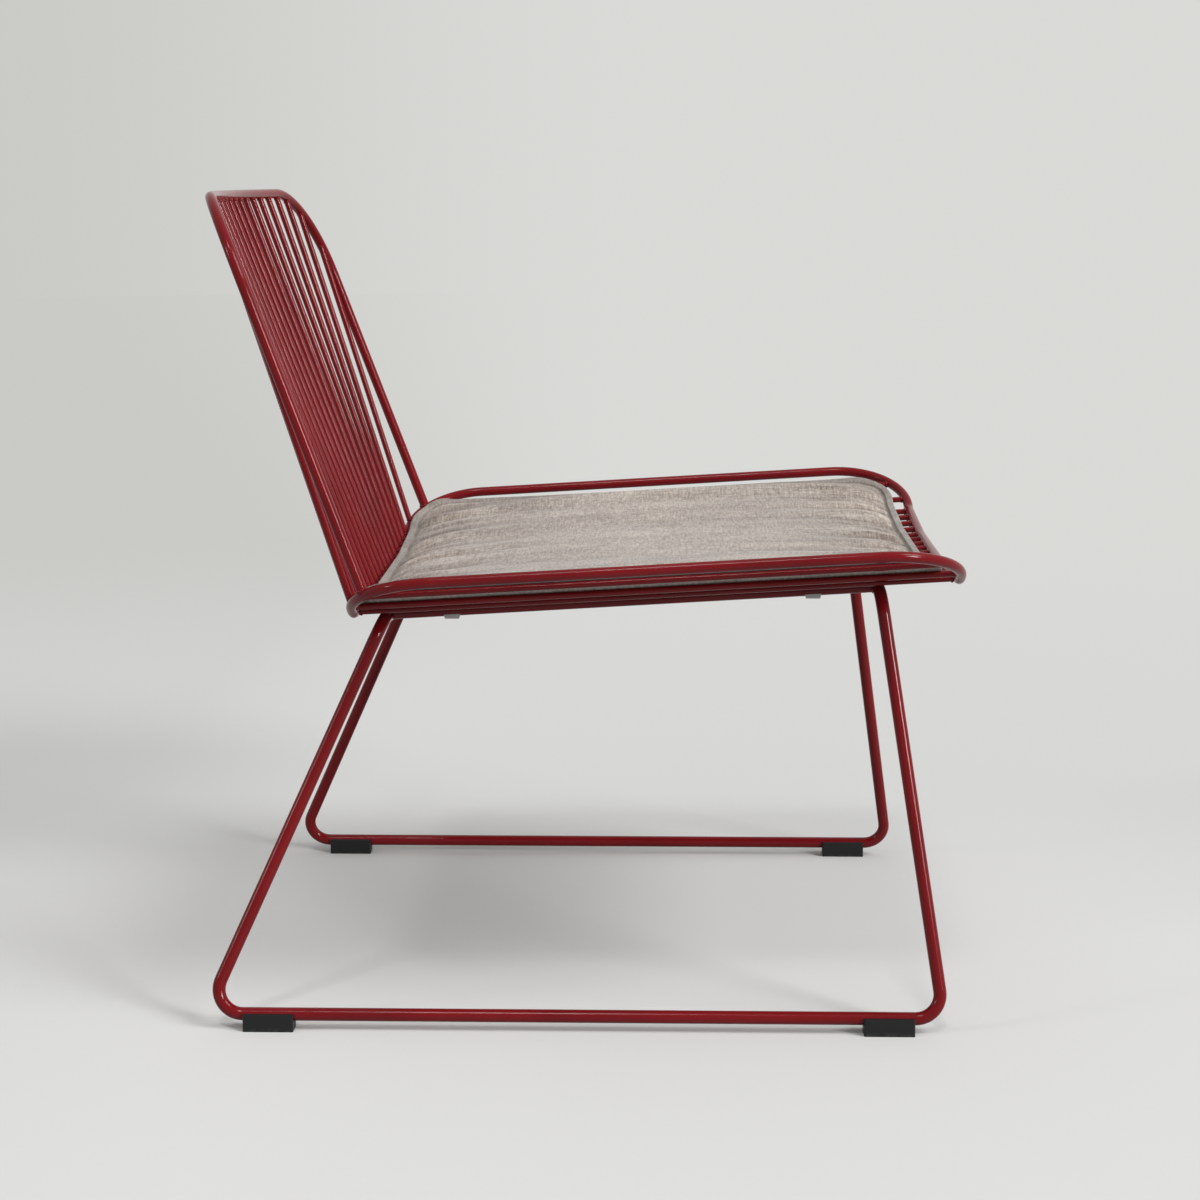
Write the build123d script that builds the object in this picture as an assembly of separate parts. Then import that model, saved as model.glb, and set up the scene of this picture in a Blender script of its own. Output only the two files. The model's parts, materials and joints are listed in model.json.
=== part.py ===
from build123d import *
import math
import os

# Low lounge chair of bent steel rod and straight steel wire, with a loose seat pad.
# Millimetres and degrees. +Z is up, the sitter faces -Y, and X runs across, with the sitter's right at -X.
# The origin is on the floor, under the middle of the chair's outline.

# Stock
base_rod_diameter = 12.0
rim_rod_diameter = 10.0   # also the back hoop's
stretcher_diameter = 10.0
wire_diameter = 6.0
weld_gap = 0.3            # left between a rod and the wire or bar that is welded to it
clip_gap = 0.3            # left between a rod and the plastic piece that grips it

# Seat rim: rails at the sides, bars at the front and rear that dip below the rails
rail_spacing = 638.0      # from rail axis to rail axis
seat_depth = 548.0        # from front bar axis to rear bar axis
rail_front_height = 442.5
rail_rear_height = 409.5
side_angle = 24.5         # slope of the bars' steep sides
side_straight = 0.5       # between the rail's corner bend and the shoulder bend
floor_dip = 9.8           # from the shoulders down to the level middle of the bars
floor_width = 220.0       # level middle of the bars
rim_corner_radius = 79.0
shoulder_radius = 30.0
floor_radius = 300.0

# Wires
seat_wire_count = 20
seat_wire_edge_gap = 31.0     # from the rail axis to the outermost seat wire
back_wire_count = 20
back_wire_foot_gap = 28.0     # from the hoop's foot to the outermost back wire, along the rear bar
back_wire_top_gap = 6.0       # from the hoop's top corner to the top of the outermost back wire

# Back hoop
overall_height = 751.0
back_lean = 145.0         # from the rear bar axis back to the axis of the hoop's top bar
hoop_foot_inset = 27.0    # from the rail axis
hoop_top_inset = 36.0     # from the rail axis to the hoop's top corner
back_bow = 31.0           # how far the middle of the top bar stands behind its corners
bow_straight = 6.0        # half of the straight middle of the top bar
hoop_corner_radius = 100.0

# Sled base
runner_spacing = 604.0
runner_front_setback = 12.2   # behind the front bar axis
runner_rear_setback = 11.8    # in front of the axis of the hoop's top bar
front_cross_setback = 68.2    # behind the front bar axis
rear_cross_setback = 24.8     # in front of the rear bar axis
front_leg_outset = 100.0  # from the cross bar's gentle bend to its corner with the leg
rear_leg_outset = 107.0
leg_top_radius = 26.0
leg_foot_radius = 22.0
stretcher_bend_gap = 3.5  # from the end of the cross bar's bend to the side of the stretcher

# Glides and bumpers
glide_length = 46.0
glide_wall = 4.0          # beside the runner
glide_sole = 8.0          # under the runner
glide_grip = 2.0          # above the runner's axis
glide_end_gap = 1.0       # from the runner's bend to the end of the glide
glide_edge_fillet = 1.5
bumper_length = 16.0
bumper_foot_length = 13.0
bumper_width = 9.0
bumper_depth = 2.0        # below the stretcher
bumper_wrap = 2.5         # up the sides of the stretcher
bumper_inset = 60.0       # from the cross bar axis

# Seat pad
pad_side_gap = 24.0       # from the rails' surface
pad_front_gap = 11.5      # from the front bar's surface
pad_rear_lap = 2.5        # over the rear bar, from its front
pad_thickness = 26.0
pad_border_width = 11.0
pad_border_thickness = 7.0
pad_border_crown = 0.5    # swell of the border along the sides
pad_corner_radius = 42.0
pad_gap = 0.3             # left between the pad and what it lies on
pad_rise_steps = 4        # slices over which the crown rises from the border

base_rod_radius = base_rod_diameter / 2
rim_rod_radius = rim_rod_diameter / 2
wire_radius = wire_diameter / 2
stretcher_radius = stretcher_diameter / 2
rail_x = rail_spacing / 2
floor_x = floor_width / 2
front_bar_y = -(seat_depth + back_lean) / 2
rear_bar_y = front_bar_y + seat_depth
hoop_back_y = rear_bar_y + back_lean
hoop_top_z = overall_height - rim_rod_radius
runner_z = glide_sole + base_rod_radius


def bend_setback(before, corner, after, radius):
    """Distance from a bend's corner point to where the bend starts."""
    half = math.radians((before - corner).get_angle(after - corner)) / 2
    return radius / math.tan(half)


def bend_middle(before, corner, after, radius):
    """Point half way round a bend."""
    setback = bend_setback(before, corner, after, radius)
    inward = (before - corner).normalized() + (after - corner).normalized()
    return corner + inward.normalized() * (math.hypot(setback, radius) - radius)


def bent_path(points, radii):
    """Straight runs through the points, joined by an arc at each inner point."""
    edges = []
    start = points[0]
    for before, corner, after, radius in zip(points, points[1:], points[2:], radii):
        setback = bend_setback(before, corner, after, radius)
        entry = corner + (before - corner).normalized() * setback
        leave = corner + (after - corner).normalized() * setback
        edges.append(Line(start, entry))
        edges.append(ThreePointArc(entry, bend_middle(before, corner, after, radius), leave))
        start = leave
    edges.append(Line(start, points[-1]))
    return Wire([edge.edge() for edge in edges])


def rod_along(path, radius):
    """Round rod swept along a path."""
    section = Plane(origin=path @ 0, z_dir=path % 0) * Circle(radius)
    return sweep(section, path=path)


def straight_rod(start, end, radius):
    """Round rod from one point to another, with square ends."""
    along = end - start
    return extrude(Plane(origin=start, z_dir=along) * Circle(radius), along.length)


def fraction_at_x(path, x, inner, outer):
    """Fraction of a path's length where it is a distance x from the middle, between two fractions."""
    for _ in range(40):
        between = (inner + outer) / 2
        if path.position_at(between).X < x:
            inner = between
        else:
            outer = between
    return inner


def rim_point(x, end):
    """Point of the rim's axis a distance x from the middle, on the front bar (end 0) or rear bar (end 1)."""
    return rim_path.position_at(fraction_at_x(rim_path, x, end, 0.5))


def mirrored(shape):
    """The same piece on the sitter's right."""
    return mirror(shape, about=Plane.YZ)


def whole(half):
    """A left half joined to its mirror image."""
    return half + mirrored(half)


def write(shape, node):
    """Write one node."""
    shape.label = node
    export_step(shape, f"parts/{node}.step")


os.makedirs("parts", exist_ok=True)

# Seat rim: the left half, from the middle of the front bar to the middle of the rear bar
front_corner = Vector(rail_x, front_bar_y, rail_front_height)
rear_corner = Vector(rail_x, rear_bar_y, rail_rear_height)
down_side = Vector(-math.cos(math.radians(side_angle)), 0, -math.sin(math.radians(side_angle)))
corner_setback = bend_setback(front_corner + down_side, front_corner, rear_corner, rim_corner_radius)
shoulder_setback = shoulder_radius * math.tan(math.radians(side_angle) / 2)
side_run = down_side * (corner_setback + side_straight + shoulder_setback)
front_shoulder = front_corner + side_run
rear_shoulder = rear_corner + side_run
shoulder_x = front_shoulder.X
front_floor_z = front_shoulder.Z - floor_dip
rear_floor_z = rear_shoulder.Z - floor_dip
rim_path = bent_path(
    [
        Vector(0, front_bar_y, front_floor_z),
        Vector(floor_x, front_bar_y, front_floor_z),
        front_shoulder,
        front_corner,
        rear_corner,
        rear_shoulder,
        Vector(floor_x, rear_bar_y, rear_floor_z),
        Vector(0, rear_bar_y, rear_floor_z),
    ],
    [floor_radius, shoulder_radius, rim_corner_radius, rim_corner_radius, shoulder_radius, floor_radius],
)
rim_cope = whole(rod_along(rim_path, rim_rod_radius + weld_gap))
write(whole(rod_along(rim_path, rim_rod_radius)), "seat_rim")

# Back hoop: the left half, from the middle of the top bar down to the foot on the rim's corner.
# The bow's bend reaches from the straight middle to the hoop's corner bend.
hoop_foot = rim_point(rail_x - hoop_foot_inset, 1.0)
hoop_corner = Vector(rail_x - hoop_top_inset, hoop_back_y - back_bow, hoop_top_z)
bow_x = (hoop_corner.X**2 + back_bow**2 - hoop_corner_radius**2) / (2 * (hoop_corner.X + hoop_corner_radius))
bow_corner = Vector(bow_x, hoop_back_y, hoop_top_z)
bow_angle = math.atan2(back_bow, hoop_corner.X - bow_x)
bow_radius = (bow_x - bow_straight) / math.tan(bow_angle / 2)
hoop_path = bent_path(
    [Vector(0, hoop_back_y, hoop_top_z), bow_corner, hoop_corner, hoop_foot],
    [bow_radius, hoop_corner_radius],
)
hoop_cope = whole(rod_along(hoop_path, rim_rod_radius + weld_gap))
write(whole(rod_along(hoop_path, rim_rod_radius)) - rim_cope, "back_hoop")


def seat_wire(share):
    """Seat wire at a share of the row's half width, coped to the rim and to the hoop's feet."""
    x = (rail_x - seat_wire_edge_gap) * share
    return straight_rod(rim_point(x, 1.0), rim_point(x, 0.0), wire_radius) - rim_cope - hoop_cope


def back_wire(share):
    """Back wire at a share of the row's half width, coped to the rear bar and to the hoop."""
    foot_x = (hoop_foot.X - back_wire_foot_gap) * share
    top_x = (hoop_corner.X - back_wire_top_gap) * share
    top = hoop_path.position_at(fraction_at_x(hoop_path, top_x, 0.0, 1.0))
    return straight_rod(rim_point(foot_x, 1.0), top, wire_radius) - rim_cope - hoop_cope


def write_row(count, wire_at, kind):
    """Write a row of wires, numbered from the sitter's right."""
    for pair in range((count + 1) // 2):
        wire = wire_at(1 - 2 * pair / (count - 1))
        left = count - pair
        right = pair + 1
        write(wire, f"{kind}_wire_{left:02d}")
        if right < left:
            write(mirrored(wire), f"{kind}_wire_{right:02d}")


write_row(seat_wire_count, seat_wire, "seat")
write_row(back_wire_count, back_wire, "back")

# Sled base: cross bars that follow the wires from below, legs, and runners
floor_slope = floor_dip / (shoulder_x - floor_x)
wire_slope = (rear_floor_z - front_floor_z) / seat_depth
front_cross_y = front_bar_y + front_cross_setback
rear_cross_y = rear_bar_y - rear_cross_setback


def under_wires(x, y, radius):
    """Axis point of a rod that lies under the wires, a distance x from the middle."""
    floor_z = front_floor_z + wire_slope * (y - front_bar_y)
    return Vector(x, y, floor_z + floor_slope * max(x - floor_x, 0) - wire_radius - weld_gap - radius)


def cross_point(x, y):
    """Axis point of a cross bar."""
    return under_wires(x, y, base_rod_radius)


runner_front = Vector(runner_spacing / 2, front_bar_y + runner_front_setback, runner_z)
runner_rear = Vector(runner_spacing / 2, hoop_back_y - runner_rear_setback, runner_z)
front_bend = cross_point(floor_x, front_cross_y)
rear_bend = cross_point(floor_x, rear_cross_y)
front_leg_top = cross_point(floor_x + front_leg_outset, front_cross_y)
rear_leg_top = cross_point(floor_x + rear_leg_outset, rear_cross_y)
base_path = bent_path(
    [
        cross_point(0, front_cross_y),
        front_bend,
        front_leg_top,
        runner_front,
        runner_rear,
        rear_leg_top,
        rear_bend,
        cross_point(0, rear_cross_y),
    ],
    [floor_radius, leg_top_radius, leg_foot_radius, leg_foot_radius, leg_top_radius, floor_radius],
)
base_left = rod_along(base_path, base_rod_radius)
base_cope = rod_along(base_path, base_rod_radius + weld_gap)
write(base_left, "base_left")
write(mirrored(base_left), "base_right")

# Stretchers between the cross bars, just inside the leg bends
front_bend_x = front_leg_top.X - bend_setback(front_bend, front_leg_top, runner_front, leg_top_radius)
rear_bend_x = rear_leg_top.X - bend_setback(rear_bend, rear_leg_top, runner_rear, leg_top_radius)
stretcher_x = min(front_bend_x, rear_bend_x) - stretcher_bend_gap - stretcher_radius
stretcher_front = under_wires(stretcher_x, front_cross_y, stretcher_radius)
stretcher_rear = under_wires(stretcher_x, rear_cross_y, stretcher_radius)
stretcher = straight_rod(stretcher_rear, stretcher_front, stretcher_radius) - base_cope
write(stretcher, "stretcher_left")
write(mirrored(stretcher), "stretcher_right")

# Stacking bumpers: tapered saddles pressed under the stretchers
along_stretcher = (stretcher_rear - stretcher_front).normalized()
stretcher_bore = straight_rod(stretcher_rear, stretcher_front, stretcher_radius + clip_gap)
for place, end, inward in (("front", stretcher_front, 1), ("rear", stretcher_rear, -1)):
    seat = Plane(end + along_stretcher * (inward * bumper_inset), x_dir=along_stretcher, z_dir=(0, 0, 1))
    top = seat.offset(bumper_wrap - stretcher_radius) * Rectangle(bumper_length, bumper_width)
    foot = seat.offset(-stretcher_radius - bumper_depth) * Rectangle(bumper_foot_length, bumper_width)
    bumper = loft([foot, top], ruled=True) - stretcher_bore
    write(bumper, f"bumper_{place}_left")
    write(mirrored(bumper), f"bumper_{place}_right")

# Glides: saddles snapped under the runners, just inside their bends
front_foot = bend_setback(front_leg_top, runner_front, runner_rear, leg_foot_radius)
rear_foot = bend_setback(rear_leg_top, runner_rear, runner_front, leg_foot_radius)
glide_from_bend = glide_end_gap + glide_length / 2
glide_places = (
    ("front", runner_front.Y + front_foot + glide_from_bend),
    ("rear", runner_rear.Y - rear_foot - glide_from_bend),
)
glide_width = base_rod_diameter + 2 * glide_wall
glide_height = runner_z + glide_grip
runner_bore = straight_rod(runner_front, runner_rear, base_rod_radius + clip_gap)
for place, y in glide_places:
    glide = Pos(runner_front.X, y, glide_height / 2) * Box(glide_width, glide_length, glide_height)
    glide = fillet(glide.edges().filter_by(Axis.Z), min(glide_edge_fillet, glide_wall))
    glide = glide - runner_bore
    write(glide, f"glide_{place}_left")
    write(mirrored(glide), f"glide_{place}_right")

# Seat pad: lies on the wires and, at its rear, on the bar; crowned in the middle, with a flat sewn border all round
pad_front_y = front_bar_y + rim_rod_radius + pad_front_gap
pad_rear_y = rear_bar_y - rim_rod_radius + pad_rear_lap
pad_half = rail_x - rim_rod_radius - pad_side_gap
pad_inner = pad_half - pad_border_width
pad_crown = pad_thickness - pad_border_thickness
pad_rise = (pad_inner - floor_x) / 2


def wire_height(x, y):
    """Height of the wires' axes at a place in the seat."""
    front = rim_point(x, 0.0)
    rear = rim_point(x, 1.0)
    return front.Z + (rear.Z - front.Z) * (y - front.Y) / (rear.Y - front.Y)


def pad_section(x, crown):
    """Fore-and-aft slice of the pad a distance x from the middle."""
    rounding = max(pad_corner_radius - (pad_half - abs(x)), 0)
    inset = pad_corner_radius - math.sqrt(pad_corner_radius**2 - rounding**2)
    front = pad_front_y + inset
    rear = pad_rear_y - inset
    middle = (front + rear) / 2
    rise = wire_height(abs(x) + wire_radius, middle) - wire_height(abs(x) - wire_radius, middle)
    steepness = math.hypot(1, rise / wire_diameter)
    lift = (wire_radius + pad_gap) * steepness
    bar_step = max(rim_rod_radius - wire_radius, 0) * steepness

    def point(y, height):
        return Vector(x, y, wire_height(abs(x), y) + lift + height)

    corners = [
        point(rear - pad_border_width, pad_border_thickness),
        point(rear, bar_step + pad_border_thickness),
        point(rear, bar_step),
        point(rear - pad_border_width, 0),
        point(front, 0),
        point(front, pad_border_thickness),
        point(front + pad_border_width, pad_border_thickness),
    ]
    crest = point(middle, pad_border_thickness + crown)
    outline = [Line(start, end) for start, end in zip(corners, corners[1:])]
    outline.append(ThreePointArc(corners[-1], crest, corners[0]))
    return Face(Wire([edge.edge() for edge in outline]))


pad_slices = [(pad_half, pad_border_crown)]
for step in range(pad_rise_steps + 1):
    turn = math.pi / 2 * step / pad_rise_steps
    crown = pad_border_crown + (pad_crown - pad_border_crown) * math.sin(turn)
    pad_slices.append((pad_inner - pad_rise * (1 - math.cos(turn)), crown))
pad_slices.append((floor_x, pad_crown))
pad_slices += [(-x, crown) for x, crown in reversed(pad_slices)]
pad = loft([pad_section(x, crown) for x, crown in pad_slices], ruled=True)
write(pad, "seat_pad")
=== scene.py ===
"""Dresses a low wire lounge chair.

Painted rods with weld beads, a sewn seat pad, plastic feet and a plain studio.
"""

import json
import logging
import math
from dataclasses import dataclass, field
from enum import Enum
from typing import Any, Callable, NamedTuple, Union

import bpy
import numpy as np
from mathutils import Matrix, Vector
from mathutils.bvhtree import BVHTree


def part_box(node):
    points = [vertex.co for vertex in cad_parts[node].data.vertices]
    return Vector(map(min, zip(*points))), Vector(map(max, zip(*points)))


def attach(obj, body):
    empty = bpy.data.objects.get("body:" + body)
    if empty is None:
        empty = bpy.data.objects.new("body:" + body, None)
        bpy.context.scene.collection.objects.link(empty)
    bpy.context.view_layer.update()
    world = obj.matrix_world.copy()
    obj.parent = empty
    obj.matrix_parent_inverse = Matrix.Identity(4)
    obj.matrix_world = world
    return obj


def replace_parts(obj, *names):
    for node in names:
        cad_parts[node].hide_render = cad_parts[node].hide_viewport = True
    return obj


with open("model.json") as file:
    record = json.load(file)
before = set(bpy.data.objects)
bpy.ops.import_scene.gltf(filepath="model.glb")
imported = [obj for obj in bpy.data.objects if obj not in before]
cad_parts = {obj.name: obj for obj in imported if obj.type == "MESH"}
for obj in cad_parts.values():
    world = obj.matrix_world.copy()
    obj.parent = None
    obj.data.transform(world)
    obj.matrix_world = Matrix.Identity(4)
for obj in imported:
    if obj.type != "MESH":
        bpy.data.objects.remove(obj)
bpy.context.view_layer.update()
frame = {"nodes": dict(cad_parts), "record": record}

LOG = logging.getLogger("lounge_chair")
MM_PER_M = 1000.0
LEAST_MOVE = 1e-9  # metres, to divide by where a point of the cover stays put
OVERHEAD = 1.0  # metres, a height above the whole chair
UP = Vector((0.0, 0.0, 1.0))
DOWN = Vector((0.0, 0.0, -1.0))

Colour = tuple[float, float, float]
Point = tuple[float, float, float]
Span = tuple[float, float]
Face = tuple[int, ...]
HeightMap = Callable[[np.ndarray, np.ndarray], np.ndarray]
Operand = Union["Signal", float, int]
EVEN: Point = (1.0, 1.0, 1.0)


class Slot(Enum):
    """Finishes of the chair, by the names of the record's material slots."""

    FRAME = "frame"
    PAD = "pad"
    GLIDE = "glide"
    BUMPER = "bumper"


class Body(Enum):
    """Bodies of the chair that pieces ride on."""

    FRAME = "frame"
    PAD = "pad"


class PadSide(Enum):
    """Sides of the seat pad's cover, by the mark that their points carry."""

    TOP = 1.0
    EDGE = 0.5
    UNDERSIDE = 0.0


class PadEnd(Enum):
    """Ends of the seat pad where the cover is gathered."""

    FRONT = "front"
    REAR = "rear"

    @property
    def way(self) -> float:
        """Way along the chair from the end's seam into the pad."""
        return 1.0 if self is PadEnd.FRONT else -1.0

    @property
    def seed(self) -> int:
        """Seed of the end's folds."""
        return 11 if self is PadEnd.FRONT else 23


class Weld(NamedTuple):
    """Welded end of a rod: its place, the rod's direction and the rod's radius."""

    place: np.ndarray
    axis: np.ndarray
    radius: float


@dataclass(frozen=True)
class Mottle:
    """One layer of unevenness in a finish: waves per metre, octaves, factors on the coordinates, share."""

    scale: float
    detail: float
    stretch: Point = EVEN
    share: float = 1.0


class Signal:
    """One output socket of a node, on which Python arithmetic adds Math nodes."""

    def __init__(self, graph: "Graph", socket: bpy.types.NodeSocket) -> None:
        """Keep the graph and the socket."""
        self.graph = graph
        self.socket = socket

    def _math(self, operation: str, *values: Operand) -> "Signal":
        """Add one Math node."""
        return self.graph.add("ShaderNodeMath", {"operation": operation}, dict(enumerate(values)))

    def __add__(self, other: Operand) -> "Signal":
        """Sum."""
        return self._math("ADD", self, other)

    def __radd__(self, other: Operand) -> "Signal":
        """Sum, reflected."""
        return self._math("ADD", other, self)

    def __sub__(self, other: Operand) -> "Signal":
        """Difference."""
        return self._math("SUBTRACT", self, other)

    def __rsub__(self, other: Operand) -> "Signal":
        """Difference, reflected."""
        return self._math("SUBTRACT", other, self)

    def __mul__(self, other: Operand) -> "Signal":
        """Product."""
        return self._math("MULTIPLY", self, other)

    def __rmul__(self, other: Operand) -> "Signal":
        """Product, reflected."""
        return self._math("MULTIPLY", other, self)

    def sine(self) -> "Signal":
        """Sine of the signal."""
        return self._math("SINE", self)

    def smooth(self, low: float, high: float) -> "Signal":
        """Smooth step from 0 at low to 1 at high."""
        settings = {"interpolation_type": "SMOOTHSTEP"}
        return self.graph.add("ShaderNodeMapRange", settings, {0: self, 1: low, 2: high, 3: 0.0, 4: 1.0})

    def out(self, name: str) -> "Signal":
        """Another output of the same node."""
        return Signal(self.graph, self.socket.node.outputs[name])


class Graph:
    """A node tree that is filled from Python."""

    def __init__(self, tree: bpy.types.NodeTree) -> None:
        """Empty the tree and keep it."""
        tree.nodes.clear()
        self.tree = tree

    def add(
        self,
        kind: str,
        settings: dict[str, Any] | None = None,
        inputs: dict[str | int, Any] | None = None,
        output: str | int = 0,
    ) -> Signal:
        """Add one node.

        Args:
            kind: The node's type.
            settings: Properties of the node, set first; stops gives a colour ramp's places and colours.
            inputs: Values or signals, by socket name or index.
            output: The output that is returned.

        Returns:
            The chosen output, or the first input of a node that has none.
        """
        node = self.tree.nodes.new(kind)
        for name, value in (settings or {}).items():
            if name == "stops":
                self._set_stops(node, value)
            else:
                setattr(node, name, value)
        for key, value in (inputs or {}).items():
            if isinstance(value, Signal):
                self.tree.links.new(value.socket, node.inputs[key])
            else:
                node.inputs[key].default_value = value
        return Signal(self, node.outputs[output] if node.outputs else node.inputs[0])

    def _set_stops(self, node: bpy.types.Node, stops: list[tuple[float, Colour]]) -> None:
        """Set a colour ramp's stops.

        Args:
            node: The ramp's node.
            stops: Place and colour of each stop.
        """
        elements = node.color_ramp.elements
        while len(elements) < len(stops):
            elements.new(1.0)
        for element, (place, colour) in zip(elements, stops):
            element.position = place
            element.color = (*colour, 1.0)

    def mix(self, factor: Operand, first: Signal | Colour, second: Signal | Colour) -> Signal:
        """Mix two colours by the second one's share."""
        values = [c if isinstance(c, Signal) else (*c, 1.0) for c in (first, second)]
        return self.add("ShaderNodeMix", {"data_type": "RGBA"}, {0: factor, 6: values[0], 7: values[1]}, 2)

    def noise(self, place: Signal, mottle: Mottle) -> Signal:
        """Noise over the surface.

        Args:
            place: Coordinates.
            mottle: Its scale, detail and stretch.

        Returns:
            Noise about 0.5.
        """
        if mottle.stretch != EVEN:
            stretched = {"Vector": place, "Scale": mottle.stretch}
            place = self.add("ShaderNodeMapping", {"vector_type": "POINT"}, stretched)
        values = {"Vector": place, "Scale": mottle.scale, "Detail": mottle.detail}
        return self.add("ShaderNodeTexNoise", {}, values)

    def bump(self, height: Signal, strength: float, distance: float) -> Signal:
        """Normal from a height of 0 to 1, with the strength and the height of 1 in metres."""
        return self.add("ShaderNodeBump", {}, {"Height": height, "Strength": strength, "Distance": distance})

    def attribute(self, name: str) -> Signal:
        """One of the piece's own point attributes, in a material."""
        return self.add("ShaderNodeAttribute", {"attribute_name": name}, output="Fac")


def new_material(name: str) -> tuple[bpy.types.Material, Graph, Signal]:
    """Start a material on Object coordinates.

    Args:
        name: The material's name.

    Returns:
        The material, its graph and its coordinates.
    """
    material = bpy.data.materials.new(name)
    material.use_nodes = True
    graph = Graph(material.node_tree)
    return material, graph, graph.add("ShaderNodeTexCoord", output="Object")


def show(graph: Graph, inputs: dict[str, Any]) -> None:
    """Send a Principled shader with these inputs to the material's output."""
    shader = graph.add("ShaderNodeBsdfPrincipled", {}, inputs)
    graph.add("ShaderNodeOutputMaterial", {}, {"Surface": shader})


def nodes_in(slot: Slot) -> list[str]:
    """Names of the CAD nodes with one finish, in order."""
    return sorted(p["node"] for p in frame["record"]["subparts"] if p["material_slot"] == slot.value)


def dress(node: str, material: bpy.types.Material) -> None:
    """Give a CAD node its material.

    Args:
        node: The node's name.
        material: What it is made of.
    """
    slots = frame["nodes"][node].data.materials
    slots.clear()
    slots.append(material)
    LOG.info("%s: %s", node, material.name)


def mesh_object(
    name: str, points: np.ndarray, faces: list[Face], edges: list[Face] | None = None
) -> bpy.types.Object:
    """Make a mesh object at the origin.

    Args:
        name: The object's name.
        points: Its points, in metres.
        faces: Its faces, as point numbers.
        edges: Its loose edges, as point numbers.

    Returns:
        The object, linked to the scene.
    """
    mesh = bpy.data.meshes.new(name)
    mesh.from_pydata([tuple(map(float, p)) for p in points], edges or [], faces)
    mesh.update()
    made = bpy.data.objects.new(name, mesh)
    bpy.context.scene.collection.objects.link(made)
    return made


def baked(source: bpy.types.Object) -> None:
    """Turn an object's modifiers into plain mesh and remove them.

    Args:
        source: The object.
    """
    view = bpy.context.evaluated_depsgraph_get()
    shaped = source.evaluated_get(view)
    mesh = bpy.data.meshes.new_from_object(shaped, preserve_all_data_layers=True, depsgraph=view)
    source.modifiers.clear()
    source.data = mesh


def points_of(mesh: bpy.types.Mesh) -> np.ndarray:
    """Points of a mesh.

    Args:
        mesh: The mesh.

    Returns:
        A row of three coordinates for each point.
    """
    flat = np.zeros(len(mesh.vertices) * 3)
    mesh.vertices.foreach_get("co", flat)
    return flat.reshape(-1, 3)


def surface_of(mesh: bpy.types.Mesh) -> BVHTree:
    """Surface of a mesh, to be met by straight lines."""
    return BVHTree.FromPolygons([v.co for v in mesh.vertices], [tuple(p.vertices) for p in mesh.polygons])


def set_attribute(made: bpy.types.Object, name: str, values: list | np.ndarray) -> None:
    """Write a number or a vector on each point of a mesh.

    Args:
        made: The mesh's object.
        name: The attribute's name.
        values: What is written, point by point.
    """
    rows = np.array(values, np.float32)
    kind, key = ("FLOAT_VECTOR", "vector") if rows.ndim > 1 else ("FLOAT", "value")
    made.data.attributes.new(name, kind, "POINT").data.foreach_set(key, rows.ravel())


def attribute_of(made: bpy.types.Object, name: str) -> np.ndarray:
    """Numbers that a mesh's points carry under a name."""
    return np.array([a.value for a in made.data.attributes[name].data])


def heading(turn: float, rise: float) -> Vector:
    """Unit vector at a turn from +X towards +Y and a rise above the floor, in radians."""
    return Vector((math.cos(turn) * math.cos(rise), math.sin(turn) * math.cos(rise), math.sin(rise)))


@dataclass(frozen=True)
class PowderCoat:
    """Semi-gloss red powder coat on steel."""

    colour: Colour = (0.172, 0.0058, 0.0084)
    deep_colour: Colour = (0.138, 0.0042, 0.0064)
    cloud: Mottle = Mottle(9.0, 3.0)
    cloud_range: Span = (0.35, 0.7)
    roughness: float = 0.14
    gloss_spread: float = 0.08
    specular: float = 0.18
    peel_pitch: float = 0.0016
    relief: Span = (0.12, 0.0002)

    def material(self) -> bpy.types.Material:
        """Paint with a fine orange peel and slightly uneven gloss.

        Returns:
            The material.
        """
        material, graph, place = new_material("red_powder_coat")
        cloud = graph.noise(place, self.cloud)
        peel = graph.noise(place, Mottle(1.0 / self.peel_pitch, 1.0))
        show(graph, {
            "Base Color": graph.mix(cloud.smooth(*self.cloud_range), self.colour, self.deep_colour),
            "Roughness": self.roughness - self.gloss_spread / 2 + cloud * self.gloss_spread,
            "Normal": graph.bump(peel, *self.relief),
            "Specular IOR Level": self.specular,
        })
        return material


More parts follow.
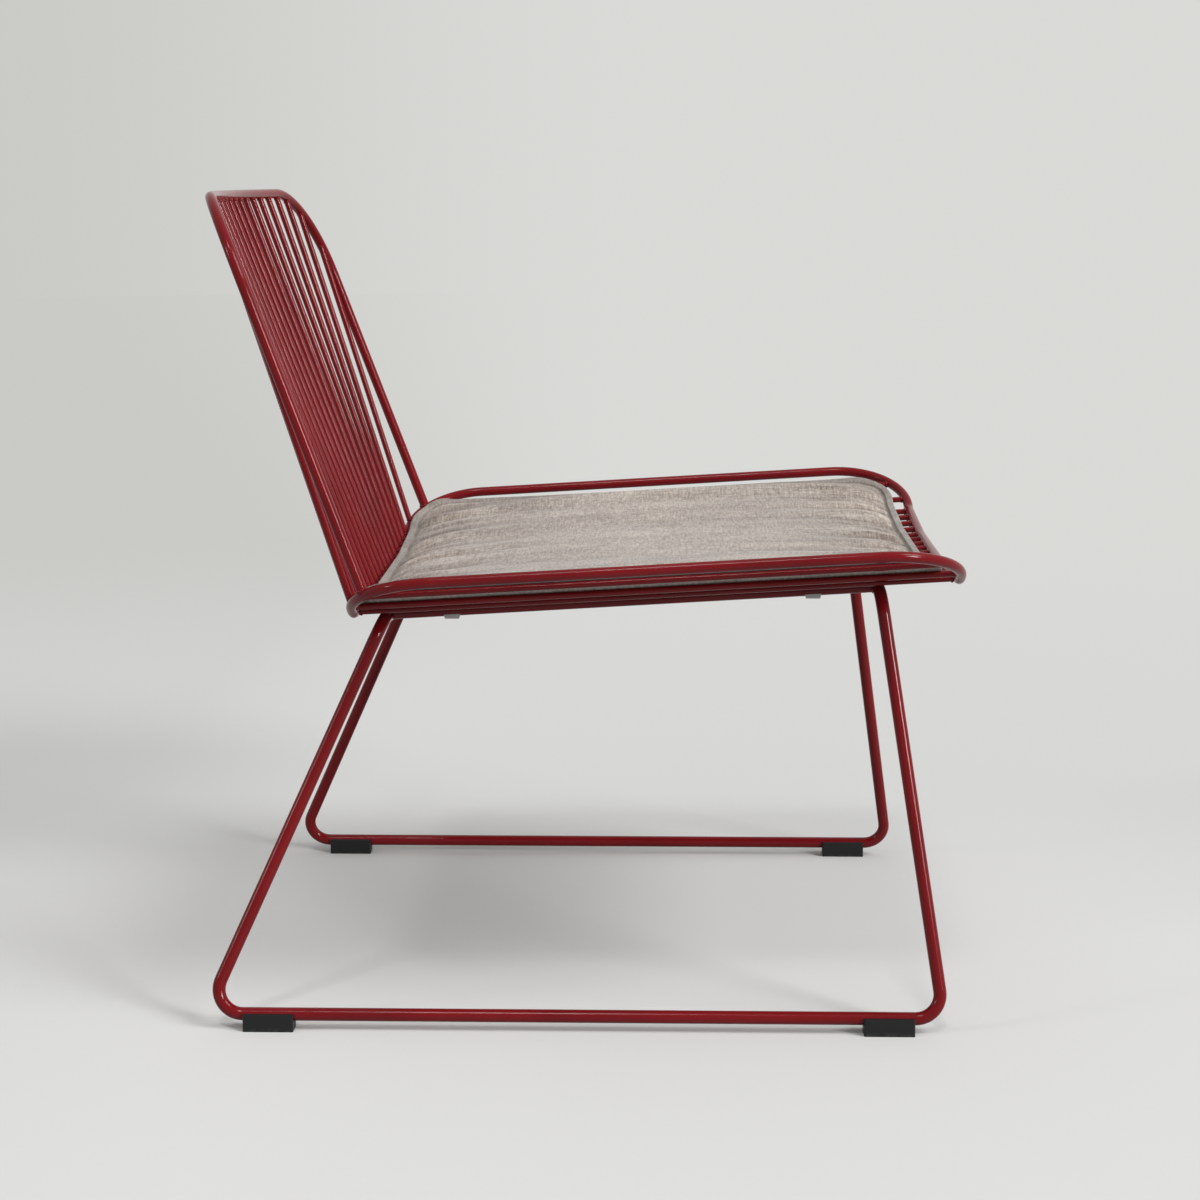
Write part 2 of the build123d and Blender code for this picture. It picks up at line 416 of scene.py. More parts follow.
@dataclass(frozen=True)
class MelangeWeave:
    """Woven cover of mixed light and dark grey-brown yarns."""

    dark: Colour = (0.158, 0.127, 0.107)
    middle: Colour = (0.338, 0.285, 0.243)
    light: Colour = (0.568, 0.498, 0.437)
    # Painted shade: the border is the same fabric as the top, painted greyer and darker.
    border: Colour = (0.200, 0.186, 0.174)
    # Painted shade: the colour that the cover is darkened to in its folds and in its seam's groove.
    painted_crease_shade: Colour = (0.175, 0.145, 0.125)
    tone_stops: tuple[float, float, float] = (0.30, 0.5, 0.72)
    tone_drop: float = 0.34
    yarn_pitch: float = 0.0019
    weave_share: float = 0.03
    warp: Mottle = Mottle(60.0, 3.0, (9.0, 1.0, 1.0), 0.42)
    weft: Mottle = Mottle(60.0, 3.0, (1.0, 9.0, 1.0), 0.50)
    fleck: Mottle = Mottle(320.0, 2.0, EVEN, 0.42)
    cloud: Mottle = Mottle(14.0, 3.0, (1.6, 0.7, 1.0), 0.34)
    # Painted shade: darker streaks along the folds at the gathered ends, darker on average there.
    end_streaks_and_shade: Mottle = Mottle(16.0, 3.0, (4.0, 0.6, 1.0), 0.65)
    end_shade_middle: float = 0.56
    crease_shade_share: float = 0.4
    border_share: float = 0.55
    border_end: Span = (0.0082, 0.0102)
    # Painted shade in the seam's groove.
    groove_share: float = 0.6
    groove_start: Span = (0.0074, 0.0090)
    groove_end: Span = (0.0102, 0.0122)
    roughness: float = 0.84
    roughness_spread: float = 0.14
    weave_height: float = 0.3
    fleck_height: float = 0.5
    relief: Span = (0.35, 0.0005)
    sheen: float = 0.25
    sheen_roughness: float = 0.45
    specular: float = 0.25

    def material(self) -> bpy.types.Material:
        """Cover with a plain weave and streaky yarns, with painted shade in the folds, in the seam's groove,
        on the border and at the gathered ends.

        Returns:
            The material.
        """
        material, graph, place = new_material("melange_weave")
        split = graph.add("ShaderNodeSeparateXYZ", {}, {0: place}, "X")
        turn = 2.0 * math.pi / self.yarn_pitch
        weave = (split * turn).sine() * (split.out("Y") * turn).sine()
        layers = (self.warp, self.weft, self.fleck, self.cloud)
        warp, weft, fleck, cloud = (graph.noise(place, layer) for layer in layers)
        yarn = warp * self.warp.share + weft * self.weft.share + fleck * self.fleck.share
        gathered = graph.attribute("gathered")
        # Painted shade at the gathered ends, in streaks along the folds.
        end_streaks_and_shade = (graph.noise(place, self.end_streaks_and_shade) - self.end_shade_middle) * gathered * self.end_streaks_and_shade.share
        tone = yarn + cloud * self.cloud.share + weave * self.weave_share - self.tone_drop + end_streaks_and_shade
        stops = list(zip(self.tone_stops, (self.dark, self.middle, self.light)))
        yarns = graph.add("ShaderNodeValToRGB", {"stops": stops}, {0: tone})
        # Painted shade in the folds, darkest where a fold sinks deepest.
        crease_shaded = graph.attribute("painted_crease_shade") * (self.crease_shade_share + fleck * self.crease_shade_share)
        inset = graph.attribute("inset")
        # Painted shade on the border flange.
        border = 1.0 - inset.smooth(*self.border_end)
        # Painted shade in the seam's groove, in the folds' shade colour.
        groove = inset.smooth(*self.groove_start) - inset.smooth(*self.groove_end)
        flat = graph.mix(border * self.border_share, graph.mix(crease_shaded, yarns, self.painted_crease_shade), self.border)
        height = weave * self.weave_height + fleck * self.fleck_height + self.weave_height
        show(graph, {
            "Base Color": graph.mix(groove * self.groove_share, flat, self.painted_crease_shade),
            "Roughness": self.roughness + fleck * self.roughness_spread,
            "Normal": graph.bump(height, *self.relief),
            "Sheen Weight": self.sheen,
            "Sheen Roughness": self.sheen_roughness,
            "Specular IOR Level": self.specular,
        })
        return material


@dataclass(frozen=True)
class SewingThread:
    """Polyester thread of the pad's seam."""

    colour: Colour = (0.33, 0.29, 0.255)
    paler: float = 1.35
    twist_pitch: float = 0.0009
    roughness: float = 0.6
    roughness_spread: float = 0.2
    relief: Span = (0.3, 0.0002)

    def material(self) -> bpy.types.Material:
        """Thread with a fine twist.

        Returns:
            The material.
        """
        material, graph, place = new_material("seam_thread")
        fibre = graph.noise(place, Mottle(1.0 / self.twist_pitch, 2.0))
        pale = tuple(c * self.paler for c in self.colour)
        show(graph, {
            "Base Color": graph.mix(fibre, self.colour, pale),
            "Roughness": self.roughness + fibre * self.roughness_spread,
            "Normal": graph.bump(fibre, *self.relief),
        })
        return material


@dataclass(frozen=True)
class MouldedPlastic:
    """Moulded plastic with a fine spark-eroded grain."""

    name: str
    colour: Colour
    worn_colour: Colour
    roughness: float
    roughness_spread: float = 0.12
    specular: float = 0.3
    grain_pitch: float = 0.0007
    relief: Span = (0.25, 0.0002)
    rub: Mottle = Mottle(160.0, 3.0)
    rub_range: Span = (0.4, 0.7)
    rub_height: float = 0.005

    def material(self) -> bpy.types.Material:
        """Plastic with a grain, and paler rubbed patches near the floor.

        Returns:
            The material.
        """
        material, graph, place = new_material(self.name)
        height = graph.add("ShaderNodeSeparateXYZ", {}, {0: place}, "Z")
        grain = graph.noise(place, Mottle(1.0 / self.grain_pitch, 1.0))
        low = 1.0 - height.smooth(0.0, self.rub_height)
        rubbed = low * graph.noise(place, self.rub).smooth(*self.rub_range)
        show(graph, {
            "Base Color": graph.mix(rubbed, self.colour, self.worn_colour),
            "Roughness": self.roughness + grain * self.roughness_spread,
            "Normal": graph.bump(grain, *self.relief),
            "Specular IOR Level": self.specular,
        })
        return material


class PieceTree:
    """A Geometry Nodes tree with named inputs, run once on an object."""

    def __init__(self, name: str, sizes: dict[str, float], material: bpy.types.Material) -> None:
        """Make the tree's interface.

        Args:
            name: The tree's name.
            sizes: Named inputs and their values.
            material: What the result is made of.
        """
        self.group = bpy.data.node_groups.new(name, "GeometryNodeTree")
        self.group.interface.new_socket("Geometry", in_out="INPUT", socket_type="NodeSocketGeometry")
        self.values = {}
        for label, value in sizes.items():
            socket = self.group.interface.new_socket(label, in_out="INPUT", socket_type="NodeSocketFloat")
            self.values[socket.identifier] = value
        self.group.interface.new_socket("Geometry", in_out="OUTPUT", socket_type="NodeSocketGeometry")
        self.material = material
        self.graph = Graph(self.group)
        self.source = self.graph.add("NodeGroupInput", output="Geometry")

    def size(self, label: str) -> Signal:
        """One of the named inputs."""
        return self.source.out(label)

    def carried(self, name: str, kind: str) -> Signal:
        """What the points carry under a name."""
        settings = {"data_type": kind}
        return self.graph.add("GeometryNodeInputNamedAttribute", settings, {"Name": name}, "Attribute")

    def place_balls(
        self, points: Signal, facets: tuple[int, int], along: Signal, across: Signal, length: Signal
    ) -> None:
        """Set a stretched ball on each point, and end the tree in plain mesh.

        Args:
            points: Where the balls go.
            facets: Segments round a ball and rings along it.
            along: Direction of each ball's own axis.
            across: Half of its width.
            length: Half of its length.
        """
        add = self.graph.add
        shape = {"Segments": facets[0], "Rings": facets[1], "Radius": 1.0}
        ball = add("GeometryNodeMeshUVSphere", {}, shape, "Mesh")
        turned = add("FunctionNodeAlignRotationToVector", {"axis": "Z"}, {"Vector": along})
        scale = add("ShaderNodeCombineXYZ", {}, {0: across, 1: across, 2: length})
        row = {"Points": points, "Instance": ball, "Rotation": turned, "Scale": scale}
        placed = add("GeometryNodeInstanceOnPoints", {}, row)
        solid = add("GeometryNodeRealizeInstances", {}, {0: placed})
        smooth = add("GeometryNodeSetShadeSmooth", {}, {"Geometry": solid})
        made = add("GeometryNodeSetMaterial", {}, {"Geometry": smooth, "Material": self.material})
        add("NodeGroupOutput", {}, {"Geometry": made})

    def run(self, on: bpy.types.Object) -> bpy.types.Object:
        """Replace an object's mesh by the tree's result.

        Args:
            on: The object with the points or the path.

        Returns:
            The same object.
        """
        modifier = on.modifiers.new(self.group.name, "NODES")
        modifier.node_group = self.group
        for identifier, value in self.values.items():
            modifier[identifier] = value
        baked(on)
        return on


@dataclass
class RodFrame:
    """Welded rods and wires, with a bead round each welded end."""

    finish: PowderCoat = field(default_factory=PowderCoat)
    bead_spread: float = 1.32
    bead_depth: float = 0.75
    bead_unevenness: float = 0.08
    bead_inset: float = 0.35
    bead_facets: tuple[int, int] = (12, 6)
    bead_seed: int = 7
    welded_rods: tuple[str, ...] = ("stretcher_left", "stretcher_right")
    hoop_radius: float = 0.005
    foot_offset: float = 0.2
    foot_height: float = 0.01
    leg_start: float = 0.05
    leg_length: float = 0.2

    def build(self) -> None:
        """Paint the rods and add the weld beads."""
        paint = self.finish.material()
        for node in nodes_in(Slot.FRAME):
            dress(node, paint)
        self.beads(paint)

    def straight_ends(self, node: str) -> list[Weld]:
        """Welded ends of a straight wire or bar.

        Args:
            node: The CAD node.

        Returns:
            Both ends.
        """
        points = points_of(frame["nodes"][node].data)
        middle = (points.min(0) + points.max(0)) / 2
        axis = np.linalg.svd(points - points.mean(0), full_matrices=False)[2][0]
        along = (points - middle) @ axis
        around = points - middle - np.outer(along, axis)
        radius = float(np.median(np.linalg.norm(around, axis=1)))
        inset = radius * self.bead_inset
        stops = (along.max() - inset, along.min() + inset)
        return [Weld(middle + axis * stop, axis, radius) for stop in stops]

    def hoop_feet(self) -> list[Weld]:
        """Welded feet of the back hoop, each aimed along the leg above it.

        Returns:
            Both feet.
        """
        points = points_of(frame["nodes"]["back_hoop"].data)
        feet = []
        for side in (-1.0, 1.0):
            half = points[points[:, 0] * side > self.foot_offset]
            bottom = half[:, 2].min()
            foot = half[half[:, 2] < bottom + self.foot_height].mean(0)
            upper = half[half[:, 2] > bottom + self.leg_start]
            leg = upper[upper[:, 2] < upper[:, 2].min() + self.leg_length]
            axis = leg.mean(0) - foot
            feet.append(Weld(foot, axis / np.linalg.norm(axis), self.hoop_radius))
        return feet

    def beads(self, paint: bpy.types.Material) -> None:
        """Weld beads, set on the welded ends by Geometry Nodes.

        Args:
            paint: The rods' paint.
        """
        wires = [n for n in nodes_in(Slot.FRAME) if "_wire_" in n]
        welds = [weld for n in (*wires, *self.welded_rods) for weld in self.straight_ends(n)]
        welds += self.hoop_feet()
        made = mesh_object("weld_beads", np.array([w.place for w in welds]), [])
        set_attribute(made, "axis", [w.axis for w in welds])
        set_attribute(made, "rod_radius", [w.radius for w in welds])
        sizes = {"Spread": self.bead_spread, "Depth": self.bead_depth, "Unevenness": self.bead_unevenness}
        tree = PieceTree("weld_bead_row", sizes, paint)
        radius = tree.carried("rod_radius", "FLOAT")
        draw = {2: -1.0, 3: 1.0, "Seed": self.bead_seed}
        uneven = tree.graph.add("FunctionNodeRandomValue", {"data_type": "FLOAT"}, draw, 1)
        wide = radius * (tree.size("Spread") + uneven * tree.size("Unevenness"))
        deep = radius * tree.size("Depth")
        tree.place_balls(tree.source, self.bead_facets, tree.carried("axis", "FLOAT_VECTOR"), wide, deep)
        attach(tree.run(made), Body.FRAME.value)
        LOG.info("weld_beads: %d beads", len(welds))


@dataclass(frozen=True)
class Folds:
    """Row of folds that run from a gathered seam into the pad."""

    count: int
    width: Span
    length: Span
    depth: float
    rise: float
    slant: float
    stray: float = 0.4
    depth_share: Span = (0.45, 1.0)
    widening: float = 0.4
    fade_power: float = 1.3
    ridge_height: float = 0.5
    ridge_place: float = 1.7

    def heights(self, dice: np.random.Generator, span: float) -> HeightMap:
        """Draw the folds' places and sizes.

        Args:
            dice: Where the differences between the folds come from.
            span: Half the length of the seam that they start from.

        Returns:
            A function from place across the pad and distance from the seam to height.
        """
        pitch = 2.0 * span / self.count
        strays = dice.uniform(-self.stray, self.stray, self.count) * pitch
        spreads = (self.width, self.length, self.depth_share, (-self.slant, self.slant))
        drawn = [
            (spot, *(dice.uniform(*spread) for spread in spreads))
            for spot in np.linspace(-span, span, self.count) + strays
        ]

        def height(x: np.ndarray, far: np.ndarray) -> np.ndarray:
            """Height of all the folds together, each a groove between two low ridges.

            Args:
                x: Places across the pad.
                far: Distances from the seam.

            Returns:
                The heights.
            """
            total = np.zeros_like(x)
            for spot, width, length, share, slant in drawn:
                run = np.clip(far / length, 0.0, 1.0)
                off = (x - spot - slant * far) / (width * (1.0 + self.widening * run))
                fade = np.clip(1.0 - far / length, 0.0, 1.0) ** self.fade_power
                fade = fade * np.clip(far / self.rise, 0.0, 1.0)
                ridges = self.ridge_height * np.exp(-((np.abs(off) - self.ridge_place) ** 2))
                total += self.depth * share * fade * (ridges - np.exp(-(off**2)))
            return total

        return height


@dataclass
class SeatPad:
    """Thin foam pad in a sewn cover with a flat border, gathered at its front and rear."""

    finish: MelangeWeave = field(default_factory=MelangeWeave)
    thread: SewingThread = field(default_factory=SewingThread)
    border_width: float = 0.0092
    border_thickness: float = 0.0062
    border_solid: float = 0.007
    seam_thickness: float = 0.0036
    seam_half_width: float = 0.001
    corner_radius: float = 0.042
    frame_width: float = 0.072
    columns: int = 96
    rows: int = 64
    edge_round: float = 0.0016
    border_rings: Span = (0.0040, 0.0062)
    seam_rings: tuple[float, ...] = (-0.0014, 0.0, 0.0014, 0.004, 0.008)
    inner_start: float = 0.013
    inner_rings: int = 9
    safe_inset: float = 0.003
    start_share: float = 0.5
    shoulder_width: float = 0.020
    shoulder_height: float = 0.0078
    cloth_quality: int = 4
    cloth_mass: float = 0.25
    pressure: float = 4.0
    steps: int = 20
    swell_limit: float = 0.004
    broad_folds: Folds = Folds(9, (0.010, 0.018), (0.09, 0.18), 0.0072, 0.018, 0.10)
    fine_folds: Folds = Folds(20, (0.006, 0.010), (0.05, 0.11), 0.0040, 0.010, 0.15)
    fold_margin: float = 0.04
    # Share of the broad folds' depth at which the painted shade in a fold is full.
    fold_shade: float = 0.45
    gather_reach: float = 0.19
    stitch_inset: float = 0.0075
    stitch_pitch: float = 0.0042
    stitch_length: float = 0.0031
    stitch_facets: tuple[int, int] = (6, 4)
    thread_radius: float = 0.00045
    thread_lift: float = 0.4
    half: Span = field(init=False)
    middle: Span = field(init=False)
    surface: BVHTree = field(init=False)

    def __post_init__(self) -> None:
        """Take the pad's place and surface from its CAD node."""
        low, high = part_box("seat_pad")
        self.half = ((high.x - low.x) / 2, (high.y - low.y) / 2)
        self.middle = ((high.x + low.x) / 2, (high.y + low.y) / 2)
        self.surface = surface_of(frame["nodes"]["seat_pad"].data)

    def build(self) -> None:
        """Make, simulate, gather and dress the pad and its stitches."""
        pad = self.cover()
        self.swell(pad)
        self.subdivide(pad)
        self.gather(pad)
        pad.data.materials.append(self.finish.material())
        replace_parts(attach(pad, Body.PAD.value), "seat_pad")
        LOG.info("%s: %d faces", pad.name, len(pad.data.polygons))
        self.stitches(pad)

    def ring(self, inset: float) -> np.ndarray:
        """One closed line round the pad, a distance inside its outline, seen from above.

        Args:
            inset: Distance from the outline, in metres.

        Returns:
            Points in order, from the front corner on the sitter's right.
        """
        radius = max(self.corner_radius - inset, 0.0)
        wide, deep = self.half[0] - inset, self.half[1] - inset

        def bulge(along: np.ndarray, length: float, across: float) -> np.ndarray:
            """Distance of one side from the middle, drawn in round the corners."""
            over = np.clip(np.abs(along) - (length - radius), 0.0, radius)
            return across - radius + np.sqrt(np.maximum(radius**2 - over**2, 0.0))

        reach = radius * (1.0 - math.sqrt(0.5))
        x = np.linspace(-1.0, 1.0, self.columns + 1) * (wide - reach)
        y = np.linspace(-1.0, 1.0, self.rows + 1) * (deep - reach)
        front = np.stack([x, -bulge(x, wide, deep)], 1)
        left = np.stack([bulge(y, deep, wide), y], 1)
        sides = [front[:-1], left[:-1], -front[:-1], -left[:-1]]
        return np.concatenate(sides) + np.array(self.middle)

    def insets(self) -> list[float]:
        """Distances of the cover's rings from the outline, closest together at the seam.

        Returns:
            The distances, from the outline to the last ring outside the grid.
        """
        seam = self.border_width
        inner = np.linspace(seam + self.inner_start, self.frame_width, self.inner_rings)[:-1]
        return [0.0, self.edge_round, *self.border_rings, *(seam + step for step in self.seam_rings), *inner]

    def grid(self) -> np.ndarray:
        """Points inside the rings, seen from above.

        Returns:
            Points row by row, from the front.
        """
        x = np.linspace(-1.0, 1.0, self.columns + 1) * (self.half[0] - self.frame_width)
        y = np.linspace(-1.0, 1.0, self.rows + 1) * (self.half[1] - self.frame_width)
        return np.stack(np.meshgrid(x, y), -1).reshape(-1, 2) + np.array(self.middle)

    def rim_numbers(self) -> list[int]:
        """Numbers of the grid's outer points.

        Returns:
            The numbers, in a ring's order.
        """
        across, down = self.columns + 1, self.rows + 1
        front = list(range(across - 1))
        left = [k * across + across - 1 for k in range(down - 1)]
        rear = [(down - 1) * across + across - 1 - k for k in range(across - 1)]
        right = [(down - 1 - k) * across for k in range(down - 1)]
        return front + left + rear + right

    def heights(self, places: np.ndarray) -> tuple[np.ndarray, np.ndarray]:
        """Underside and top of the CAD pad.

        Args:
            places: Points seen from above, inside the outline.

        Returns:
            Heights of the underside and of the top.
        """
        under = [self.surface.ray_cast(Vector((x, y, 0.0)), UP)[0].z for x, y in places]
        over = [self.surface.ray_cast(Vector((x, y, OVERHEAD)), DOWN)[0].z for x, y in places]
        return np.array(under), np.array(over)

    def ring_heights(self, inset: float) -> tuple[np.ndarray, np.ndarray]:
        """Underside and top of the CAD pad along a ring, carried on to the outline from just inside it.

        Args:
            inset: The ring's distance from the outline.

        Returns:
            Heights of the underside and of the top.
        """
        if inset >= self.safe_inset:
            return self.heights(self.ring(inset))
        share = (self.safe_inset - inset) / self.safe_inset
        inner, deeper = (self.heights(self.ring(k * self.safe_inset)) for k in (1, 2))
        under, over = (a + (a - b) * share for a, b in zip(inner, deeper))
        return under, over

    def cover(self) -> bpy.types.Object:
        """Cover before it is filled, with its border, seam and edge.

        Returns:
            The pad, whose points carry their side of it and their inset.
        """
        insets = [*self.insets(), self.frame_width]
        places = [*(self.ring(inset) for inset in insets[:-1]), self.grid()]
        solids = [*(self.ring_heights(inset) for inset in insets[:-1]), self.heights(places[-1])]
        edge = np.column_stack([places[0], solids[0][0] + self.border_thickness / 2])
        count = total = len(edge)
        points, faces = [edge], []
        upper, inset_of = [np.full(count, PadSide.EDGE.value)], [np.zeros(count)]
        for side in (PadSide.TOP, PadSide.UNDERSIDE):
            flip = side is PadSide.UNDERSIDE
            last = list(range(count))
            for inset, place, (under, over) in zip(insets[1:], places[1:], solids[1:]):
                lift = self.thickness(inset, over - under) * side.value
                points.append(np.column_stack([place, under + lift]))
                upper.append(np.full(len(place), side.value))
                inset_of.append(np.full(len(place), inset))
                outer = self.rim_numbers() if place is places[-1] else range(count)
                now = [total + k for k in outer]
                faces += self.band(last, now, flip)
                last = now
                total += len(place)
            faces += self.grid_faces(total - len(places[-1]), flip)
        pad = mesh_object("seat_pad_cover", np.concatenate(points), faces)
        set_attribute(pad, "upper", np.concatenate(upper))
        set_attribute(pad, "inset", np.concatenate(inset_of))
        return pad

    def band(self, outer: list[int], inner: list[int], flip: bool) -> list[Face]:
        """Faces between two rings.

        Args:
            outer: Point numbers of the outer ring.
            inner: Point numbers of the inner ring.
            flip: Whether the faces look down.

        Returns:
            The faces.
        """
        faces = []
        for k in range(len(outer)):
            after = (k + 1) % len(outer)
            quad = (outer[k], outer[after], inner[after], inner[k])
            faces.append(quad[::-1] if flip else quad)
        return faces

    def grid_faces(self, start: int, flip: bool) -> list[Face]:
        """Faces between the grid's points.

        Args:
            start: Number of the grid's first point.
            flip: Whether the faces look down.

        Returns:
            The faces.
        """
        across = self.columns + 1
        faces = []
        for row in range(self.rows):
            for column in range(self.columns):
                k = start + row * across + column
                quad = (k, k + 1, k + across + 1, k + across)
                faces.append(quad[::-1] if flip else quad)
        return faces

    def thickness(self, inset: float, solid: np.ndarray) -> np.ndarray:
        """Thickness of the cover before it is filled.

        Args:
            inset: Distance from the outline.
            solid: Thickness of the CAD pad at the same places.

        Returns:
            Thickness at each place.
        """
        from_seam = inset - self.border_width
        if from_seam < -self.seam_half_width:
            return np.full_like(solid, self.border_thickness)
        if from_seam < self.seam_half_width:
            return np.full_like(solid, self.seam_thickness)
        short = 1.0 - min(from_seam / self.shoulder_width, 1.0)
        start = self.seam_thickness + self.shoulder_height * math.sqrt(1.0 - short**2)
        return start + (solid - self.border_solid) * self.start_share

    def swell(self, pad: bpy.types.Object) -> None:
        """Fill the cover by a cloth simulation with air pressure, with the border and underside held.

        Args:
            pad: The pad.
        """
        before = points_of(pad.data)
        on_top = attribute_of(pad, "upper") == PadSide.TOP.value
        inside = attribute_of(pad, "inset") > self.border_width + self.seam_half_width
        group = pad.vertex_groups.new(name="held")
        group.add(np.nonzero(~(on_top & inside))[0].tolist(), 1.0, "REPLACE")
        cloth = pad.modifiers.new("filling", "CLOTH")
        cloth.settings.quality = self.cloth_quality
        cloth.settings.mass = self.cloth_mass
        cloth.settings.vertex_group_mass = group.name
        cloth.settings.use_pressure = True
        cloth.settings.uniform_pressure_force = self.pressure
        cloth.settings.effector_weights.gravity = 0.0
        cloth.collision_settings.use_collision = False
        cloth.point_cache.frame_start = 1
        cloth.point_cache.frame_end = self.steps
        scene = bpy.context.scene
        for step in range(1, self.steps + 1):
            scene.frame_set(step)
        filled = pad.evaluated_get(bpy.context.evaluated_depsgraph_get())
        after = points_of(filled.to_mesh())
        filled.to_mesh_clear()
        pad.modifiers.clear()
        pad.vertex_groups.clear()
        scene.frame_set(1)
        move = after - before
        length = np.maximum(np.linalg.norm(move, axis=1, keepdims=True), LEAST_MOVE)
        move *= self.swell_limit * np.tanh(length / self.swell_limit) / length
        pad.data.vertices.foreach_set("co", (before + move).astype(np.float32).ravel())
        pad.data.update()
        LOG.info("%s: swelled by up to %.1f mm", pad.name, MM_PER_M * np.linalg.norm(move, axis=1).max())

    def subdivide(self, pad: bpy.types.Object) -> None:
        """Divide the cover's faces once, smoothly.

        Args:
            pad: The pad.
        """
        finer = pad.modifiers.new("finer", "SUBSURF")
        finer.levels = finer.render_levels = 1
        baked(pad)
        pad.data.polygons.foreach_set("use_smooth", np.ones(len(pad.data.polygons), bool))

    def gather(self, pad: bpy.types.Object) -> None:
        """Press the folds of the gathered cover into the pad's top.

        Args:
            pad: The pad.
        """
        points = points_of(pad.data).astype(np.float32)
        top = np.clip(attribute_of(pad, "upper") * 2.0 - 1.0, 0.0, 1.0)
        sunk, gathered = np.zeros(len(points)), np.zeros(len(points))
        for end in PadEnd:
            dice = np.random.default_rng(end.seed)
            seam = self.middle[1] - end.way * (self.half[1] - self.border_width)
            far = np.maximum((points[:, 1] - seam) * end.way, 0.0)
            gathered += np.clip(1.0 - far / self.gather_reach, 0.0, 1.0)
            for folds in (self.broad_folds, self.fine_folds):
                sunk += folds.heights(dice, self.half[0] - self.fold_margin)(points[:, 0], far)
        points[:, 2] += top * sunk
        # Painted shade: how dark each point of the top is painted, from how deep it lies in a fold.
        shade = np.clip(-sunk / (self.fold_shade * self.broad_folds.depth), 0.0, 1.0)
        set_attribute(pad, "painted_crease_shade", top * shade)
        # Where the painted shade of the gathered ends goes.
        set_attribute(pad, "gathered", top * gathered)
        pad.data.vertices.foreach_set("co", points.ravel())
        pad.data.update()

    def stitches(self, pad: bpy.types.Object) -> None:
        """Row of stitches along the border, laid on its top by Geometry Nodes.

        Args:
            pad: The finished pad.
        """
        top = surface_of(pad.data)
        path = []
        for x, y in self.ring(self.stitch_inset):
            hit = top.ray_cast(Vector((x, y, OVERHEAD)), DOWN)[0]
            path.append((x, y, hit.z + self.thread_lift * self.thread_radius))
        edges = [(k, (k + 1) % len(path)) for k in range(len(path))]
        made = mesh_object("seam_stitches", np.array(path), [], edges)
        sizes = {"Pitch": self.stitch_pitch, "Length": self.stitch_length}
        tree = PieceTree("stitch_row", {**sizes, "Thread Radius": self.thread_radius}, self.thread.material())
        line = tree.graph.add("GeometryNodeMeshToCurve", {}, {"Mesh": tree.source})
        spacing = {"Curve": line, "Length": tree.size("Pitch")}
        even = tree.graph.add("GeometryNodeResampleCurve", {"mode": "LENGTH"}, spacing)
        tangent = tree.graph.add("GeometryNodeInputTangent")
        thin, long = tree.size("Thread Radius"), tree.size("Length") * 0.5
        tree.place_balls(even, self.stitch_facets, tangent, thin, long)
        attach(tree.run(made), Body.PAD.value)
        LOG.info("%s: %d faces", made.name, len(made.data.polygons))


@dataclass
class Feet:
    """Plastic pieces on the rods: glides under the runners and bumpers under the stretchers."""

    glide: MouldedPlastic = MouldedPlastic("black_glide", (0.007, 0.0073, 0.0076), (0.03, 0.03, 0.03), 0.45)
    bumper: MouldedPlastic = MouldedPlastic("milky_bumper", (0.50, 0.49, 0.47), (0.50, 0.49, 0.47), 0.4)

    def build(self) -> None:
        """Dress the glides and the bumpers."""
        for slot, finish in ((Slot.GLIDE, self.glide), (Slot.BUMPER, self.bumper)):
            plastic = finish.material()
            for node in nodes_in(slot):
                dress(node, plastic)


@dataclass(frozen=True)
class Lamp:
    """One large soft lamp, far from the chair, with its angles in degrees."""

    name: str
    azimuth: float
    elevation: float
    spread: float
    level: float

    def build(self) -> None:
        """Add the lamp; its level is its share of the light on an open floor."""
        light = bpy.data.lights.new(self.name, "SUN")
        light.angle = math.radians(self.spread)
        turn, rise = math.radians(self.azimuth), math.radians(self.elevation)
        light.energy = self.level * math.pi / math.sin(rise)
        lamp = bpy.data.objects.new(self.name, light)
        lamp.rotation_euler = heading(turn, rise).to_track_quat("Z", "Y").to_euler()
        bpy.context.scene.collection.objects.link(lamp)


